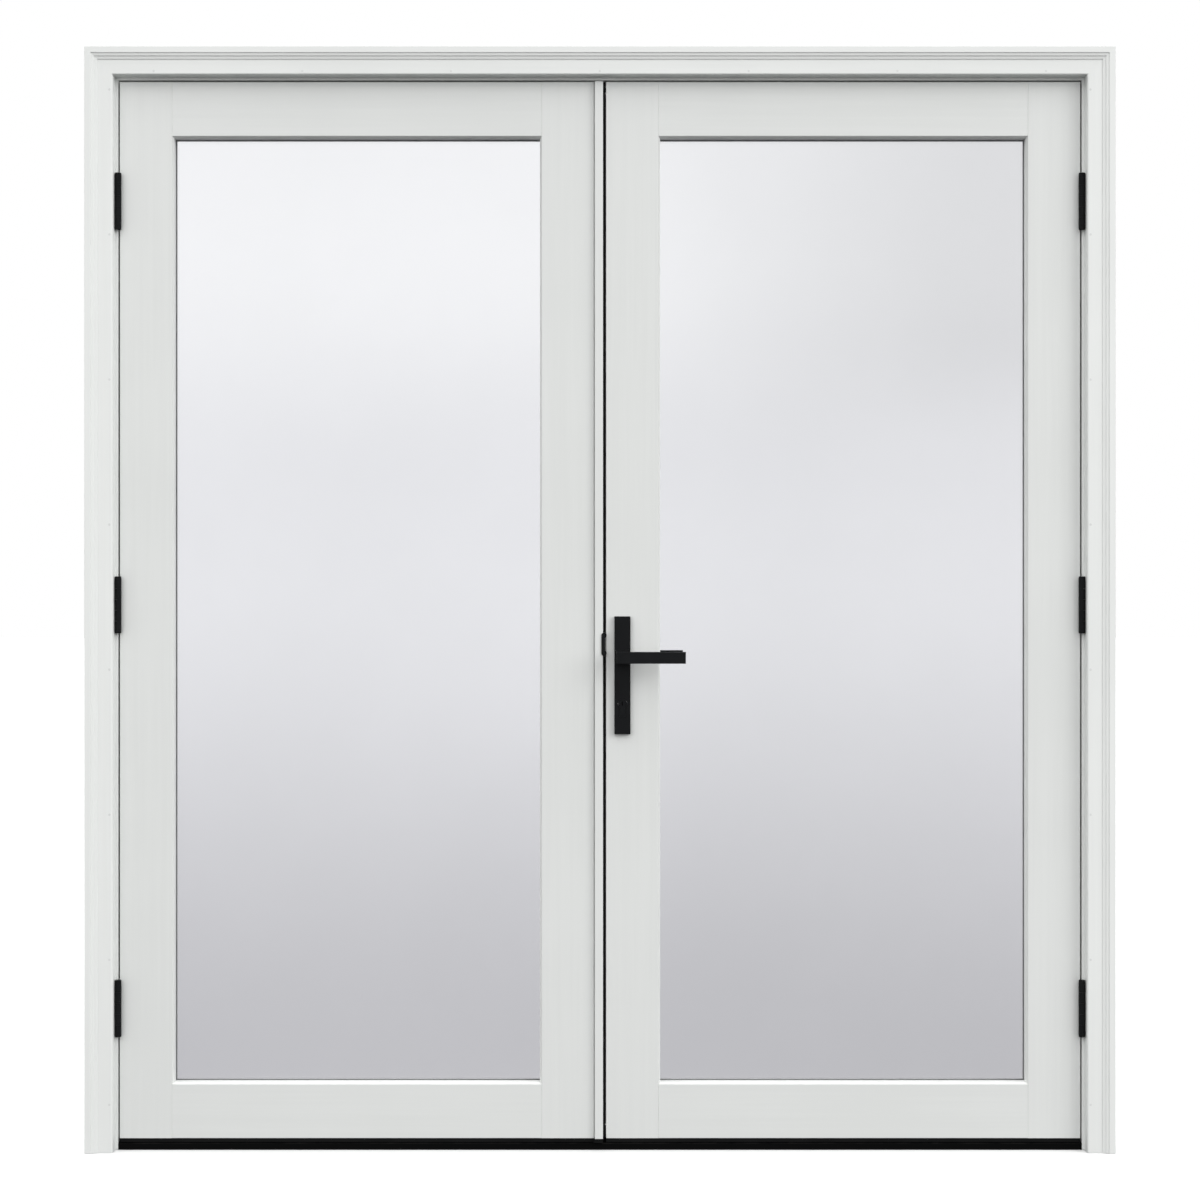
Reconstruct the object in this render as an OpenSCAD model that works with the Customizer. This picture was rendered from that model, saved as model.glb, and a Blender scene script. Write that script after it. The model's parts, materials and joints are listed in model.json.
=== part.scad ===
// Double full-glass french doors that open outwards, hung in their own frame.
// Millimetres. X runs across the doors, +Y is the room side and +Z is up.
// The origin is the middle of the sill's underside.

/* [Door leaves] */
// Width of one leaf
leaf_w = 900.7; // [760:0.1:1000]
// Height of one leaf
leaf_h = 2006.6; // [1900:0.1:2200]
// Thickness of one leaf
leaf_t = 44.5; // [44:0.5:48]
// Width of the upright stiles
stile_w = 99.5; // [95:0.5:130]
// Height of the top and bottom rails
rail_h = 102.6; // [95:0.1:180]
// Height of the leaves' lower edge above the floor
leaf_lift = 22; // [22:1:26]
// Distance between the two leaves where they meet
meeting_gap = 23.2; // [23:0.1:24]

/* [Glazing] */
// Width of the sloped bead that shows round the glass
bead_w = 3.2; // [2.6:0.2:6]
// Depth from a leaf's outer face to the glass
glass_recess = 20; // [18:1:21]
// Thickness of the sealed glass unit
unit_t = 16; // [14:1:17]
// Thickness of one pane
pane_t = 3; // [3:0.5:4]
// How far the rebate for the glass runs in behind the opening's edge
rebate_w = 8.4; // [7:0.1:10]

/* [Frame] */
// Depth of the frame through the wall
jamb_depth = 116; // [112:1:140]
// Thickness of the jambs
jamb_t = 19; // [19:1:22]
// How far the door stop stands out from the jamb
stop_t = 12.7; // [11:0.1:14]
// Gap between a leaf and the jamb beside it
side_gap = 3.2; // [3:0.1:3.6]
// Gap between the leaves and the head of the frame
top_gap = 3.2; // [3:0.1:4]
// Space between a closed leaf and the stop, filled by the weatherstrip
seal_gap = 4; // [3.8:0.1:5]

/* [Outer moulding] */
// Width of the moulding round the frame
casing_w = 52.3; // [48:0.1:60]
// Thickness of the moulding at its outer band
casing_t = 32; // [30:1:36]
// Strip of jamb edge left showing inside the moulding
reveal = 5.2; // [5.2:0.2:8]
// Width of the moulding's outer band
band_w = 12; // [10:0.5:14]
// Width of each of the moulding's two narrow steps
step_w = 5.8; // [4:0.1:6]
// Spacing of the nails along the head moulding
head_nail_pitch = 281; // [200:1:300]
// Spacing of the nails along the side mouldings
side_nail_pitch = 274; // [200:1:280]

/* [Sill] */
// Height of the sill's front edge
sill_front_h = 11.5; // [9:0.5:12]
// Height of the sill's upstand behind the leaves
upstand_h = 34; // [30:1:36]

/* [Hinges] */
// Height of a hinge without its tips
hinge_h = 102; // [88:1:120]
// Diameter of the hinge barrel
barrel_d = 12.5; // [11:0.5:13]
// Thickness of a hinge leaf
plate_t = 2.5; // [2:0.1:3]
// Distance from a leaf's top edge to the middle of the top hinge
hinge_from_top = 228; // [150:1:300]
// Distance from a leaf's bottom edge to the middle of the bottom hinge
hinge_from_bottom = 248; // [150:1:350]

/* [Handle and lock] */
// Distance from the leaf's meeting edge to the lever's spindle
backset = 30.9; // [30:0.1:32]
// Height of the lever's axis above the floor
lever_z = 936; // [900:1:1050]
// Distance from the lever's axis down to the lock cylinder's axis
cylinder_drop = 88; // [85:1:92]
// Width of the handle plate
plate_w = 30.5; // [28:0.5:32]
// Height of the handle plate
plate_h = 223.5; // [216:0.5:240]
// Thickness of the handle plate
plate_d = 9; // [8:0.5:10]
// How far the lever stands out from the leaf
lever_reach = 60; // [50:1:65]
// Length of the lever
lever_l = 129.5; // [110:0.5:140]
// Height of the lever's bar
lever_h = 22; // [20:0.5:22]
// Travel of the latch bolt
latch_throw = 12; // [11:0.5:12]

/* [Hidden] */

$fn = 48;
paint = "#E8EAE8";
black = "#1B1C1E";
rubber = "#232425";
steel = "#8E9296";
wood = "#B9A27E";
clear = [0.80, 0.86, 0.90, 0.35];

// A large size that reaches past the whole object, for cutting
far = 3000;
// Overrun that keeps cut faces from lying in one plane
eps = 1;

// Leaf faces and edges, for the right leaf
face_y = -jamb_depth / 2;
back_y = face_y + leaf_t;
mid_y = (face_y + back_y) / 2;
meet_x = meeting_gap / 2;
edge_x = meet_x + leaf_w;
bottom_z = leaf_lift;
top_z = leaf_lift + leaf_h;

// Opening in the leaf that the glass sits in
glass_x0 = meet_x + stile_w;
glass_x1 = edge_x - stile_w;
glass_z0 = bottom_z + rail_h;
glass_z1 = top_z - rail_h;
glass_y = face_y + glass_recess;
inner_bead_t = leaf_t - glass_recess - unit_t;
edge_clear = 1.5;
mitre_gap = 0.1;
spacer_hidden = 1;

// Joints between stiles and rails
tenon_t = 12;
tenon_l = 40;
tenon_margin = 22;
groove = 0.5;

// Frame
jamb_x = edge_x + side_gap;
jamb_out_x = jamb_x + jamb_t;
head_z = top_z + top_gap;
head_top_z = head_z + jamb_t;
stop_y = back_y + seal_gap;
stop_x = jamb_x - stop_t;
dado = 9;
casing_x = jamb_x + reveal + casing_w;
casing_z = head_z + reveal + casing_w;
casing_riser = 1.5;
casing_slope = 1;
casing_round = 3;
casing_face_t = casing_t - 3 * casing_riser - 2 * casing_slope;

// Nails
nail_r = 1;
nail_head_r = 1.5;
nail_sunk = 0.4;
nail_l = 45;
nail_inset = 12.2;
nail_x = jamb_x + 11.2;
nail_first_z = 91;
head_nails = 3;
side_nails = 8;

// Weatherstrip
strip_w = 8;
strip_clear = 0.3;
strip_t = seal_gap - strip_clear;

// Hinges
axis_x = edge_x + side_gap / 2;
axis_y = face_y - 8;
hinge_top_z = top_z - hinge_from_top;
hinge_bottom_z = bottom_z + hinge_from_bottom;
hinge_zs = [hinge_bottom_z, (hinge_bottom_z + hinge_top_z) / 2, hinge_top_z];
knuckles = 5;
knuckle_gap = 0.4;
knuckle_l = (hinge_h - (knuckles - 1) * knuckle_gap) / knuckles;
pin_r = 3;
fit = 0.05;
tip_h = 3;
tip_r = barrel_d / 2 - 0.2;
tip_edge = 0.6;
hinge_plate_y0 = axis_y + barrel_d / 2 + 0.6;
hinge_plate_y1 = face_y + 28;
hinge_screw_spots = [[-38, 8], [-13, 20], [13, 20], [38, 8]];
screw_head_r = 4;
screw_r = 1.9;
screw_head_h = 2.1;
jamb_screw_l = 17;
leaf_screw_l = 30;

// Astragal between the leaves, fixed to the left one
astragal_x0 = -meet_x;
astragal_x1 = 5.7;
nose_x0 = astragal_x0 + 1.7;
nose_y = face_y - 8;
nose_groove = 4;
stop_flange_x = 22;
stop_back_x = -30;
stop_bar_t = 12;
stop_end_gap = 4;
seal_y0 = face_y + 3;
seal_y1 = face_y + 8;
seal_x1 = 9.7;

// Flush bolts in the astragal
bolt_x = -3;
bolt_y = mid_y + 6;
bolt_r = 4;
bolt_l = 300;
bolt_travel = 16;
thumb_l = 26;
thumb_w = 8;
thumb_out = 2.6;
keeper_t = 2;
keeper_hole_r = 5;

// Sweeps below the leaves
sweep_z = bottom_z - 7.4;
sweep_fin = 3;

// Lock
lock_x = meet_x + backset;
cylinder_z = lever_z - cylinder_drop;
latch_z = lever_z + 24;
deadbolt_z = lever_z - 44;
case_x0 = meet_x + 3;
case_x1 = case_x0 + 50;
case_t = 16;
case_wall = 1.5;
case_z0 = cylinder_z - 33;
case_z1 = lever_z + 49;
faceplate_w = 22;
faceplate_screw_l = 24;
faceplate_over = 31;
latch_h = 26;
latch_w = 12.6;
bolt_h = 28;
bolt_w = 12;
bolt_throw = 20;
spindle_w = 8;
follower_r = 10;
follower_boss_r = 8;
follower_arm = 17;
profile_r = 8.5;
profile_h = 33;
profile_w = 10;
plug_r = 6.4;
cam_w = 10;
cylinder_proud = 1.5;

// Handle
plate_z0 = 790;
plate_z1 = plate_z0 + plate_h;
hub_w = 28;
hub_d = 8;
journal_r = 9;
neck_gap = 0.4;
lever_t = 11;
soft = 1;
plate_screw_inset = 11;
plate_screw_r = 2.5;
plate_screw_head_r = 4.5;
strike_x1 = astragal_x1 + 1.8;
lip_z0 = 938.7;
lip_z1 = 982.5;
lip_x0 = 2.6;
lip_x1 = 9.5;
lip_t = 2;

// ---------------------------------------------------------------- shared shapes

// A box between two corners
module block(a, b) {
    translate(a) cube(b - a);
}

// A rectangle with its four corners cut off
module cut_rect(w, h, c) {
    polygon([
        [-w / 2 + c, -h / 2], [w / 2 - c, -h / 2], [w / 2, -h / 2 + c], [w / 2, h / 2 - c],
        [w / 2 - c, h / 2], [-w / 2 + c, h / 2], [-w / 2, h / 2 - c], [-w / 2, -h / 2 + c]
    ]);
}

// A box between two corners with every edge bevelled
module soft_block(a, b, c) {
    size = b - a;
    translate((a + b) / 2) intersection() {
        linear_extrude(size.z, center = true) cut_rect(size.x, size.y, c);
        rotate([90, 0, 0]) linear_extrude(size.y, center = true) cut_rect(size.x, size.z, c);
        rotate([90, 0, 90]) linear_extrude(size.x, center = true) cut_rect(size.y, size.z, c);
    }
}

// The child outline drawn as [depth, across], run along X
module run_x(length) {
    rotate([90, 0, 90]) linear_extrude(length, center = true) children();
}

// A moulding of the child outline, its ends cut at 45 degrees so that across = 0 is the long side
module mitred(length, w, gap = 0) {
    half = length / 2 - gap;
    intersection() {
        run_x(length) children();
        rotate([90, 0, 0]) linear_extrude(far, center = true)
            polygon([[-half, 0], [half, 0], [half - w, w], [w - half, w]]);
    }
}

// Four mitred mouldings round an opening, with their long sides on its edges and fine gaps at the corners
module mitred_ring(x0, x1, z0, z1, y, w) {
    mx = (x0 + x1) / 2;
    mz = (z0 + z1) / 2;
    translate([mx, y, z0]) mitred(x1 - x0, w, mitre_gap) children();
    translate([mx, y, z1]) rotate([0, 180, 0]) mitred(x1 - x0, w, mitre_gap) children();
    translate([x0, y, mz]) rotate([0, 90, 0]) mitred(z1 - z0, w, mitre_gap) children();
    translate([x1, y, mz]) rotate([0, -90, 0]) mitred(z1 - z0, w, mitre_gap) children();
}

// The same thing for the left leaf
module left() {
    mirror([1, 0, 0]) children();
}

// A cylinder along +Y from y0 to y1
module rod_y(x, z, y0, y1, r) {
    translate([x, y0, z]) rotate([-90, 0, 0]) cylinder(h = y1 - y0, r = r);
}

// The same thing on a leaf's other face
module other_side() {
    translate([0, 2 * mid_y, 0]) mirror([0, 1, 0]) children();
}

// ---------------------------------------------------------------- frame

// Outline of the sill's metal cover, [depth, height]
module sill_outline() {
    polygon([
        [face_y, 0], [face_y, sill_front_h], [face_y + 1, sill_front_h + 1],
        [stop_y, sill_front_h + 2.5], [stop_y, upstand_h - 1.5], [stop_y + 1.5, upstand_h],
        [stop_y + 13.5, upstand_h], [stop_y + 15.5, upstand_h - 2], [stop_y + 15.5, 19],
        [-face_y - 1.5, 15], [-face_y, 13.5], [-face_y, 0],
        [-face_y - 4, 0], [-face_y - 4, 8], [face_y + 4, 8], [face_y + 4, 0]
    ]);
}

// Hole in the sill that the lower flush bolt drops into
module sill_bolt_hole() {
    translate([bolt_x, bolt_y, 2]) cylinder(h = 30, r = keeper_hole_r);
}

module sill_base() {
    color(wood) difference() {
        block([-jamb_x, face_y + 4, 0], [jamb_x, -face_y - 4, 8]);
        sill_bolt_hole();
    }
}

module sill_cap() {
    color(black) difference() {
        run_x(2 * jamb_x) sill_outline();
        block([-far, stop_y + 3, 11], [far, stop_y + 12.5, upstand_h - 3]);
        sill_bolt_hole();
    }
}

// The side jamb's stop, coped over the sill
module side_stop() {
    difference() {
        block([stop_x, stop_y, 14], [jamb_x, -face_y, head_z]);
        run_x(2 * jamb_x) sill_outline();
    }
}

module side_jamb() {
    color(paint) difference() {
        union() {
            block([jamb_x, face_y, 0], [jamb_out_x, -face_y, head_top_z]);
            side_stop();
        }
        block([jamb_x - eps, face_y - eps, head_z], [jamb_x + dado, -face_y + eps, head_top_z + eps]);
        jamb_side_cuts();
    }
}

// What is cut from the right jamb for the hinges and nails
module jamb_side_cuts() {
    at_hinges() jamb_plate_shape();
    at_hinges() jamb_screw_set();
    side_nail_row();
}

module jamb_left() {
    left() side_jamb();
}

module jamb_right() {
    side_jamb();
}

module jamb_head() {
    color(paint) difference() {
        union() {
            block([-jamb_x - dado, face_y, head_z], [jamb_x + dado, -face_y, head_top_z]);
            block([-stop_x, stop_y, head_z - stop_t], [stop_x, -face_y, head_z]);
        }
        translate([bolt_x, bolt_y, head_z - eps]) cylinder(h = jamb_t + 2 * eps, r = keeper_hole_r);
        keeper_blank();
        head_nail_row();
    }
}

// Outline of the outer moulding, [depth from its back, across from its outer edge]
module casing_outline() {
    s1 = casing_t - casing_riser;
    s2 = s1 - casing_slope - casing_riser;
    steps = [
        [0, 0], [-casing_t, 0], [-casing_t, band_w],
        [-s1, band_w], [-s1 + casing_slope, band_w + step_w],
        [-s2, band_w + step_w], [-s2 + casing_slope, band_w + 2 * step_w],
        [-casing_face_t, band_w + 2 * step_w]
    ];
    rounding = [
        for (a = [0 : 15 : 90])
            [-casing_face_t + casing_round * (1 - cos(a)), casing_w - casing_round * (1 - sin(a))]
    ];
    polygon(concat(steps, rounding, [[0, casing_w]]));
}

module brickmould_side() {
    color(paint) difference() {
        intersection() {
            translate([casing_x, face_y, 0]) rotate([0, -90, 0])
                mitred(2 * casing_z, casing_w) casing_outline();
            block([0, -far, 0], [far, far, far]);
        }
        side_nail_row();
    }
}

module brickmould_left() {
    left() brickmould_side();
}

module brickmould_right() {
    brickmould_side();
}

module brickmould_head() {
    color(paint) difference() {
        translate([0, face_y, casing_z]) rotate([0, 180, 0])
            mitred(2 * casing_x, casing_w) casing_outline();
        head_nail_row();
    }
}

// One finish nail, its head just below the face of the moulding
module nail() {
    y0 = face_y - casing_face_t;
    rod_y(0, 0, y0 + nail_sunk, y0 + nail_sunk + 2, nail_head_r);
    rod_y(0, 0, y0 + nail_sunk + 1, y0 + nail_l, nail_r);
}

// Everything that a nail and its sunk head take out of the wood
module nail_cut() {
    nail();
    rod_y(0, 0, face_y - casing_face_t - eps, face_y - casing_face_t + 1, nail_head_r);
}

module side_nails_at() {
    for (i = [0 : side_nails - 1])
        translate([nail_x, 0, nail_first_z + i * side_nail_pitch]) children();
}

module head_nails_at() {
    for (i = [-head_nails : head_nails])
        translate([i * head_nail_pitch, 0, head_z + nail_inset]) children();
}

module side_nail_row() {
    side_nails_at() nail_cut();
}

module head_nail_row() {
    head_nails_at() nail_cut();
}

module casing_nails() {
    color(paint) union() {
        side_nails_at() nail();
        left() side_nails_at() nail();
        head_nails_at() nail();
    }
}

// Four strips that the leaves close against
module weatherstrips() {
    y0 = stop_y - strip_t;
    edge = 0.6;
    color(rubber) union() {
        for (s = [-1, 1])
            on_side(s) block(
                [stop_x + edge, y0, upstand_h + 1],
                [stop_x + edge + strip_w, stop_y, head_z - stop_t]
            );
        block([-stop_x, y0, head_z - stop_t + edge], [stop_x, stop_y, head_z - stop_t + edge + strip_w]);
        block([-stop_x, y0, upstand_h - 10], [stop_x, stop_y, upstand_h - 2]);
    }
}

// The children as they are for s = 1, or on the other side for s = -1
module on_side(s) {
    mirror([s < 0 ? 1 : 0, 0, 0]) children();
}

// Plate for the upper flush bolt, let into the head
module keeper_blank() {
    block([bolt_x - 11, bolt_y - 9, head_z], [bolt_x + 11, bolt_y + 9, head_z + keeper_t]);
}

module head_keeper() {
    color(steel) difference() {
        keeper_blank();
        translate([bolt_x, bolt_y, head_z - eps]) cylinder(h = keeper_t + 2 * eps, r = keeper_hole_r - 0.6);
    }
}

// ---------------------------------------------------------------- hinges

// The children at each of the right side's hinges, with the pin's axis as Z
module at_hinges() {
    for (z = hinge_zs)
        translate([axis_x, axis_y, z]) children();
}

module knuckle(i) {
    translate([0, 0, -hinge_h / 2 + i * (knuckle_l + knuckle_gap)])
        cylinder(h = knuckle_l, r = barrel_d / 2);
}

// The flat part of a hinge leaf, for the jamb side (side = 1) or the door side (side = -1)
module plate_shape(side) {
    x0 = side_gap / 2;
    on_side(side)
        block(
            [x0, hinge_plate_y0 - axis_y, -hinge_h / 2],
            [x0 + plate_t, hinge_plate_y1 - axis_y, hinge_h / 2]
        );
}

module jamb_plate_shape() {
    plate_shape(1);
}

module door_plate_shape() {
    plate_shape(-1);
}

// Web that joins a knuckle to its plate
module knuckle_web(i, side) {
    z0 = -hinge_h / 2 + i * (knuckle_l + knuckle_gap);
    x0 = side_gap / 2;
    on_side(side) block([x0, 0, z0], [x0 + plate_t, hinge_plate_y0 - axis_y, z0 + knuckle_l]);
}

// One whole hinge leaf with the knuckles listed
module hinge_leaf(side, mine) {
    difference() {
        union() {
            plate_shape(side);
            for (i = mine) {
                knuckle(i);
                knuckle_web(i, side);
            }
        }
        cylinder(h = 2 * hinge_h, r = pin_r + fit, center = true);
        screw_set(side, jamb_screw_l);
    }
}

// A countersunk screw pointing along +X with its head's face at x = 0
module screw(length) {
    rotate([0, 90, 0]) {
        cylinder(h = screw_head_h, r1 = screw_head_r, r2 = screw_r);
        cylinder(h = length, r = screw_r);
    }
}

// The four screws of one hinge leaf
module screw_set(side, length) {
    for (spot = hinge_screw_spots)
        on_side(side)
            translate([side_gap / 2, hinge_plate_y0 - axis_y + spot.y, spot.x]) screw(length);
}

module jamb_screw_set() {
    screw_set(1, jamb_screw_l);
}

module door_screw_set() {
    screw_set(-1, leaf_screw_l);
}

// Cross-shaped recess in a screw's head
module driver_recess() {
    arm = 2.2;
    slot = 0.8;
    for (a = [0, 90])
        rotate([a, 0, 0]) block([-eps, -arm, -slot / 2], [1.2, arm, slot / 2]);
}

module recessed_screws(side, length) {
    for (spot = hinge_screw_spots)
        on_side(side)
            translate([side_gap / 2, hinge_plate_y0 - axis_y + spot.y, spot.x]) difference() {
                screw(length);
                driver_recess();
            }
}

module both_sides() {
    children();
    left() children();
}

module jamb_hinge_leaves() {
    color(black) both_sides() at_hinges() hinge_leaf(1, [0, 2, 4]);
}

module hinge_pins() {
    color(black) both_sides() at_hinges() {
        cylinder(h = hinge_h, r = pin_r, center = true);
        for (s = [0, 1])
            mirror([0, 0, s]) translate([0, 0, hinge_h / 2]) {
                cylinder(h = tip_h - tip_edge, r = tip_r);
                translate([0, 0, tip_h - tip_edge]) cylinder(h = tip_edge, r1 = tip_r, r2 = tip_r - tip_edge);
            }
    }
}

module jamb_hinge_screws() {
    color(black) both_sides() at_hinges() recessed_screws(1, jamb_screw_l);
}

module door_hinge_leaves() {
    color(black) at_hinges() hinge_leaf(-1, [1, 3]);
}

module door_hinge_screws() {
    color(black) at_hinges() recessed_screws(-1, leaf_screw_l);
}

module left_hinge_leaves() {
    left() door_hinge_leaves();
}

module right_hinge_leaves() {
    door_hinge_leaves();
}

module left_hinge_screws() {
    left() door_hinge_screws();
}

module right_hinge_screws() {
    door_hinge_screws();
}

// ---------------------------------------------------------------- leaves

// Rebate behind the opening that the glass and the inner beads sit in
module glass_rebate() {
    block(
        [glass_x0 - rebate_w, glass_y, glass_z0 - rebate_w],
        [glass_x1 + rebate_w, back_y + eps, glass_z1 + rebate_w]
    );
}

// The tenons of one rail whose lower edge is at z
module rail_tenons(z) {
    block(
        [glass_x0 - tenon_l, mid_y - tenon_t / 2, z + tenon_margin],
        [glass_x1 + tenon_l, mid_y + tenon_t / 2, z + rail_h - tenon_margin]
    );
}

// The fine V along the joints between stiles and rails, on both faces
module joint_grooves() {
    for (x = [glass_x0, glass_x1])
        for (y = [face_y, back_y])
            translate([x, y, (bottom_z + top_z) / 2]) rotate([0, 0, 45])
                cube([groove * sqrt(2), groove * sqrt(2), far], center = true);
}

module stile_cuts() {
    glass_rebate();
    joint_grooves();
    rail_tenons(bottom_z);
    rail_tenons(top_z - rail_h);
}

module hinge_stile() {
    color(paint) difference() {
        block([glass_x1, face_y, bottom_z], [edge_x, back_y, top_z]);
        stile_cuts();
        at_hinges() door_plate_shape();
        at_hinges() door_screw_set();
    }
}

module meeting_stile() {
    color(paint) difference() {
        block([meet_x, face_y, bottom_z], [glass_x0, back_y, top_z]);
        stile_cuts();
    }
}

module rail(z) {
    color(paint) difference() {
        union() {
            block([glass_x0, face_y, z], [glass_x1, back_y, z + rail_h]);
            rail_tenons(z);
        }
        glass_rebate();
        joint_grooves();
    }
}

// Outer beads, sloped in from just below the leaf's face down to the glass
module outer_beads() {
    quirk = 0.6;
    slope = 5.5;
    color(paint) mitred_ring(glass_x0, glass_x1, glass_z0, glass_z1, face_y, bead_w)
        polygon([[quirk, 0], [slope, bead_w], [glass_recess, bead_w], [glass_recess, 0]]);
}

// Inner beads, which fill the rebate behind the glass
module inner_beads() {
    w = rebate_w + bead_w;
    slope = 5;
    t = inner_bead_t;
    color(paint)
        mitred_ring(
            glass_x0 - rebate_w, glass_x1 + rebate_w, glass_z0 - rebate_w, glass_z1 + rebate_w,
            glass_y + unit_t, w
        )
            polygon([[0, 0], [t, 0], [t, rebate_w], [t - slope, w], [0, w]]);
}

// One pane, its outer face at depth y
module pane(y) {
    cover = rebate_w - edge_clear;
    color(clear) block(
        [glass_x0 - cover, y, glass_z0 - cover],
        [glass_x1 + cover, y + pane_t, glass_z1 + cover]
    );
}

module outer_glass() {
    pane(glass_y);
}

module inner_glass() {
    pane(glass_y + unit_t - pane_t);
}

// Spacer bar that holds the two panes apart
module spacer() {
    cover = rebate_w - edge_clear;
    inset = bead_w - spacer_hidden;
    color(rubber) difference() {
        block(
            [glass_x0 - cover, glass_y + pane_t, glass_z0 - cover],
            [glass_x1 + cover, glass_y + unit_t - pane_t, glass_z1 + cover]
        );
        block(
            [glass_x0 + inset, glass_y, glass_z0 + inset],
            [glass_x1 - inset, back_y, glass_z1 - inset]
        );
    }
}

// Outline of the sweep below a leaf, [depth, height]
module sweep_outline() {
    plate = 2;
    polygon([
        [face_y + 0.2, bottom_z], [face_y + 0.2, sweep_z], [face_y + sweep_fin, sweep_z],
        [face_y + sweep_fin + 2, bottom_z - plate], [mid_y - 2, bottom_z - plate],
        [mid_y - 1, sweep_z], [mid_y + 1, sweep_z], [mid_y + 2, bottom_z - plate],
        [back_y - 4, bottom_z - plate], [back_y - 3, sweep_z], [back_y - 1, sweep_z],
        [back_y - 1, bottom_z]
    ]);
}

module sweep() {
    color(rubber) translate([(meet_x + edge_x) / 2, 0, 0]) run_x(leaf_w) sweep_outline();
}

module left_hinge_stile() {
    left() hinge_stile();
}

module right_hinge_stile() {
    hinge_stile();
}

module left_meeting_stile() {
    left() meeting_stile();
}

module left_top_rail() {
    left() rail(top_z - rail_h);
}

module right_top_rail() {
    rail(top_z - rail_h);
}

module left_bottom_rail() {
    left() rail(bottom_z);
}

module right_bottom_rail() {
    rail(bottom_z);
}

module left_outer_beads() {
    left() outer_beads();
}

module right_outer_beads() {
    outer_beads();
}

module left_inner_beads() {
    left() inner_beads();
}

module right_inner_beads() {
    inner_beads();
}

module left_outer_glass() {
    left() outer_glass();
}

module right_outer_glass() {
    outer_glass();
}

module left_inner_glass() {
    left() inner_glass();
}

module right_inner_glass() {
    inner_glass();
}

module left_spacer() {
    left() spacer();
}

module right_spacer() {
    spacer();
}

module right_sweep() {
    sweep();
}

// The left leaf's sweep carries on below the astragal, with a hole for the flush bolt
module left_sweep() {
    left() sweep();
    color(rubber) difference() {
        block([astragal_x0, nose_y + 0.2, sweep_z], [astragal_x1, back_y - 1, bottom_z]);
        translate([bolt_x, bolt_y, 0]) cylinder(h = 2 * bottom_z, r = bolt_r + 0.6);
    }
}

// ---------------------------------------------------------------- astragal

// Bore and thumb slot of one flush bolt, pointing up from the bar's lower end
module bolt_space() {
    translate([bolt_x, bolt_y, 0]) cylinder(h = bolt_l + 2 * bolt_travel, r = bolt_r + fit);
    thumb_z = bolt_l - thumb_l - 10;
    block(
        [bolt_x, bolt_y - thumb_w / 2 - 0.2, thumb_z - bolt_travel - 1],
        [astragal_x1 + eps, bolt_y + thumb_w / 2 + 0.2, thumb_z + thumb_l + 1]
    );
}

module astragal() {
    latch_side = latch_w / 2 + 1.2;
    color(paint) difference() {
        union() {
            block([astragal_x0, face_y + nose_groove, bottom_z], [astragal_x1, back_y, top_z]);
            soft_block([nose_x0, nose_y, bottom_z], [astragal_x1, face_y + 2 * nose_groove, top_z], 0.6);
        }
        translate([0, 0, bottom_z]) bolt_space();
        translate([0, 0, top_z]) mirror([0, 0, 1]) bolt_space();
        block(
            [-2.5, mid_y - latch_side, latch_z - latch_h / 2 - 1.5],
            [far, mid_y + latch_side, latch_z + latch_h / 2 + 1.5]
        );
        block(
            [meet_x - bolt_throw - 1.2, mid_y - bolt_w / 2 - 1, deadbolt_z - bolt_h / 2 - 1.5],
            [far, mid_y + bolt_w / 2 + 1, deadbolt_z + bolt_h / 2 + 1.5]
        );
    }
}

// Rebated bar on the room side that the right leaf closes against
module astragal_stop() {
    z0 = upstand_h + stop_end_gap;
    z1 = head_z - stop_t - stop_end_gap;
    color(paint) union() {
        block([stop_back_x, back_y, z0], [astragal_x1, back_y + stop_bar_t, z1]);
        block([astragal_x1, stop_y, z0], [stop_flange_x, back_y + stop_bar_t, z1]);
    }
}

// Soft strips on the astragal: two lengths in the gap, one on the stop
module astragal_seal() {
    z0 = upstand_h + stop_end_gap;
    z1 = head_z - stop_t - stop_end_gap;
    color(rubber) union() {
        block([astragal_x1, seal_y0, bottom_z], [seal_x1, seal_y1, lip_z0 - 1]);
        block([astragal_x1, seal_y0, lip_z1 + 1], [seal_x1, seal_y1, top_z]);
        block([stop_flange_x - strip_w, stop_y - strip_t, z0], [stop_flange_x - 1, stop_y, z1]);
    }
}

// Striking plate with its lip bent round the front of the astragal
module strike_plate() {
    z0 = deadbolt_z - bolt_h / 2 - 16;
    z1 = latch_z + latch_h / 2 + 16;
    lip_r = 5;
    y0 = mid_y - 11;
    front = nose_y - lip_t;
    color(black) difference() {
        union() {
            block([astragal_x1, y0, z0], [strike_x1, mid_y + 11, z1]);
            block([astragal_x1, front, lip_z0], [strike_x1, y0 + eps, lip_z1]);
            translate([0, nose_y, 0]) rotate([90, 0, 0]) linear_extrude(lip_t) union() {
                translate([lip_x0, lip_z0 + lip_r]) square([lip_x1 - lip_x0, lip_z1 - lip_z0 - 2 * lip_r]);
                translate([lip_x0 + lip_r, lip_z0]) square([lip_x1 - lip_x0 - lip_r, lip_z1 - lip_z0]);
                translate([lip_x0 + lip_r, lip_z0 + lip_r]) circle(lip_r);
                translate([lip_x0 + lip_r, lip_z1 - lip_r]) circle(lip_r);
            }
        }
        block(
            [0, mid_y - latch_w / 2 - 1, latch_z - latch_h / 2 - 1.2],
            [far, mid_y + latch_w / 2 + 1, latch_z + latch_h / 2 + 1.2]
        );
        block(
            [0, mid_y - bolt_w / 2 - 0.8, deadbolt_z - bolt_h / 2 - 1.2],
            [far, mid_y + bolt_w / 2 + 0.8, deadbolt_z + bolt_h / 2 + 1.2]
        );
    }
}

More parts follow.
